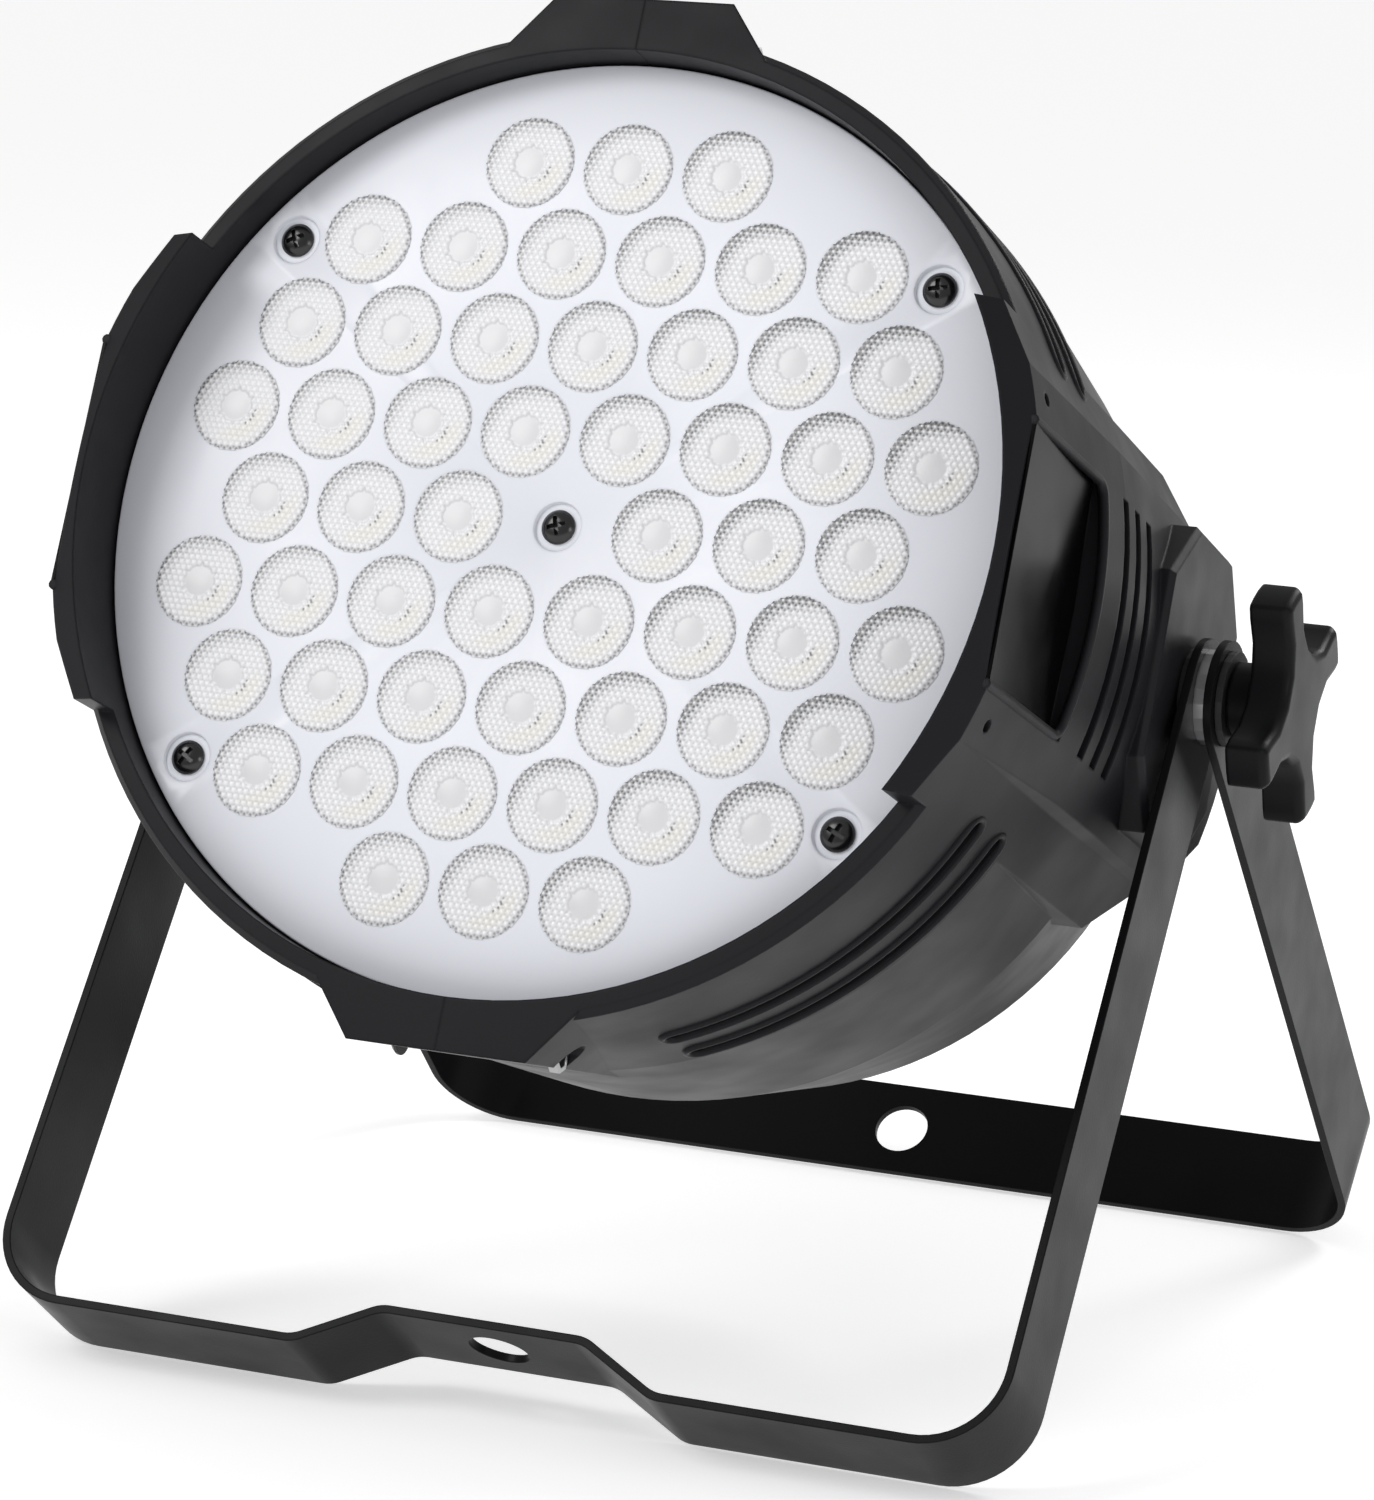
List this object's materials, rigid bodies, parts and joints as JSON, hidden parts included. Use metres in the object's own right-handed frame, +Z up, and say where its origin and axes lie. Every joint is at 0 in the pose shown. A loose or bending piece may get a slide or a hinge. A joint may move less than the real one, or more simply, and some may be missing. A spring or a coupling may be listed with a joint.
{
  "type": "par can light",
  "caption": "LED stage par light in a moulded black head, tilting between two folding steel brackets clamped by hand knobs.",
  "frame": {"origin": "on the floor, under the middle of the whole lamp's box", "axes": "+Z up, the lamp shines towards -Y and is tilted up, +X along the pivot towards the right knob as seen from in front facing +Y"},
  "size_m": [0.268, 0.2802, 0.2883],
  "materials": {
    "housing_black": "satin moulded ABS with a fine spark texture",
    "badge_gloss": "high gloss",
    "strap_black": "satin powder coat",
    "lens_clear": "clear and frosted acrylic over a white board",
    "fastener_black": "black oxide, oiled",
    "steel": "zinc plated",
    "washer_black": "matt",
    "washer_steel": "zinc plated",
    "knob_black": "satin glass-filled nylon",
    "board_white": "white solder mask on aluminium",
    "emitter": "phosphor under clear silicone",
    "sink_aluminium": "extruded",
    "fan_black": "moulded",
    "board_green": "solder mask",
    "nylon_white": "moulded",
    "display_red": "tinted window",
    "button_grey": "moulded",
    "socket_black": "moulded",
    "socket_metal": "black nickel"
  },
  "bodies": {
    "rear_yoke": {"rear_yoke": "strap_black"},
    "front_yoke": {"front_yoke": "strap_black", "yoke_washer_left": "washer_black", "yoke_washer_right": "washer_black"},
    "knob_washer_left": {"knob_washer_left": "washer_steel"},
    "knob_washer_right": {"knob_washer_right": "washer_steel"},
    "knob_left": {"knob_left": "knob_black", "knob_stud_left": "steel"},
    "knob_right": {"knob_right": "knob_black", "knob_stud_right": "steel"},
    "fan_rotor": {"fan_rotor": "fan_black"},
    "button_menu": {"button_menu": "button_grey"},
    "button_down": {"button_down": "button_grey"},
    "button_up": {"button_up": "button_grey"},
    "button_enter": {"button_enter": "button_grey"},
    "head": {"badge_left": "badge_gloss", "badge_right": "badge_gloss", "control_board": "board_green", "control_standoffs": "nylon_white", "display": "display_red", "dmx_in": "socket_metal", "dmx_out": "socket_metal", "ear_washer_left": "washer_black", "ear_washer_right": "washer_black", "fan_frame": "fan_black", "fan_screws": "fastener_black", "fuse_holder": "socket_black", "heat_sink": "sink_aluminium", "housing_left": "housing_black", "housing_right": "housing_black", "led_board": "board_white", "led_emitters": "emitter", "lens_plate": "lens_clear", "panel_screws": "fastener_black", "pivot_nut_left": "steel", "pivot_nut_right": "steel", "plate_screws": "fastener_black", "plate_standoffs": "steel", "power_inlet": "socket_black", "power_outlet": "socket_black", "psu_board": "board_green", "psu_standoffs": "steel", "rear_panel": "strap_black", "seam_nuts": "steel", "seam_screws": "fastener_black"}
  },
  "joints": [
    {"name": "head_tilt", "type": "hinge", "parent": "rear_yoke", "child": "head", "pos_m": [0, -0.00602, 0.14813], "axis": [1, 0, 0], "range_deg": [-112, 113]},
    {"name": "stance", "type": "hinge", "parent": "rear_yoke", "child": "front_yoke", "pos_m": [0, -0.00602, 0.14813], "axis": [1, 0, 0], "range_deg": [-40, 80.9]},
    {"name": "knob_right_travel", "type": "slide", "parent": "head", "child": "knob_washer_right", "axis": [1, 0, 0], "range_m": [0, 0.0025]},
    {"name": "knob_right_turn", "type": "hinge", "parent": "knob_washer_right", "child": "knob_right", "pos_m": [0, -0.00602, 0.14813], "axis": [1, 0, 0], "range_deg": [0, 719]},
    {"name": "knob_left_travel", "type": "slide", "parent": "head", "child": "knob_washer_left", "axis": [-1, 0, 0], "range_m": [0, 0.0025]},
    {"name": "knob_left_turn", "type": "hinge", "parent": "knob_washer_left", "child": "knob_left", "pos_m": [0, -0.00602, 0.14813], "axis": [-1, 0, 0], "range_deg": [0, 719]},
    {"name": "fan_spin", "type": "hinge", "parent": "head", "child": "fan_rotor", "pos_m": [0, 0.03927, 0.1289], "axis": [0, 0.9205, -0.3907], "continuous": true},
    {"name": "press_menu", "type": "slide", "parent": "head", "child": "button_menu", "axis": [0, -0.9205, 0.3907], "range_m": [0, 0.0008], "stiffness_N_per_m": 500, "springref_m": -0.001},
    {"name": "press_down", "type": "slide", "parent": "head", "child": "button_down", "axis": [0, -0.9205, 0.3907], "range_m": [0, 0.0008], "stiffness_N_per_m": 500, "springref_m": -0.001},
    {"name": "press_up", "type": "slide", "parent": "head", "child": "button_up", "axis": [0, -0.9205, 0.3907], "range_m": [0, 0.0008], "stiffness_N_per_m": 500, "springref_m": -0.001},
    {"name": "press_enter", "type": "slide", "parent": "head", "child": "button_enter", "axis": [0, -0.9205, 0.3907], "range_m": [0, 0.0008], "stiffness_N_per_m": 500, "springref_m": -0.001}
  ],
  "couplings": [
    {"joint": "knob_right_travel", "follows": "knob_right_turn", "m_per_rad": 0.00019894},
    {"joint": "knob_left_travel", "follows": "knob_left_turn", "m_per_rad": 0.00019894}
  ]
}
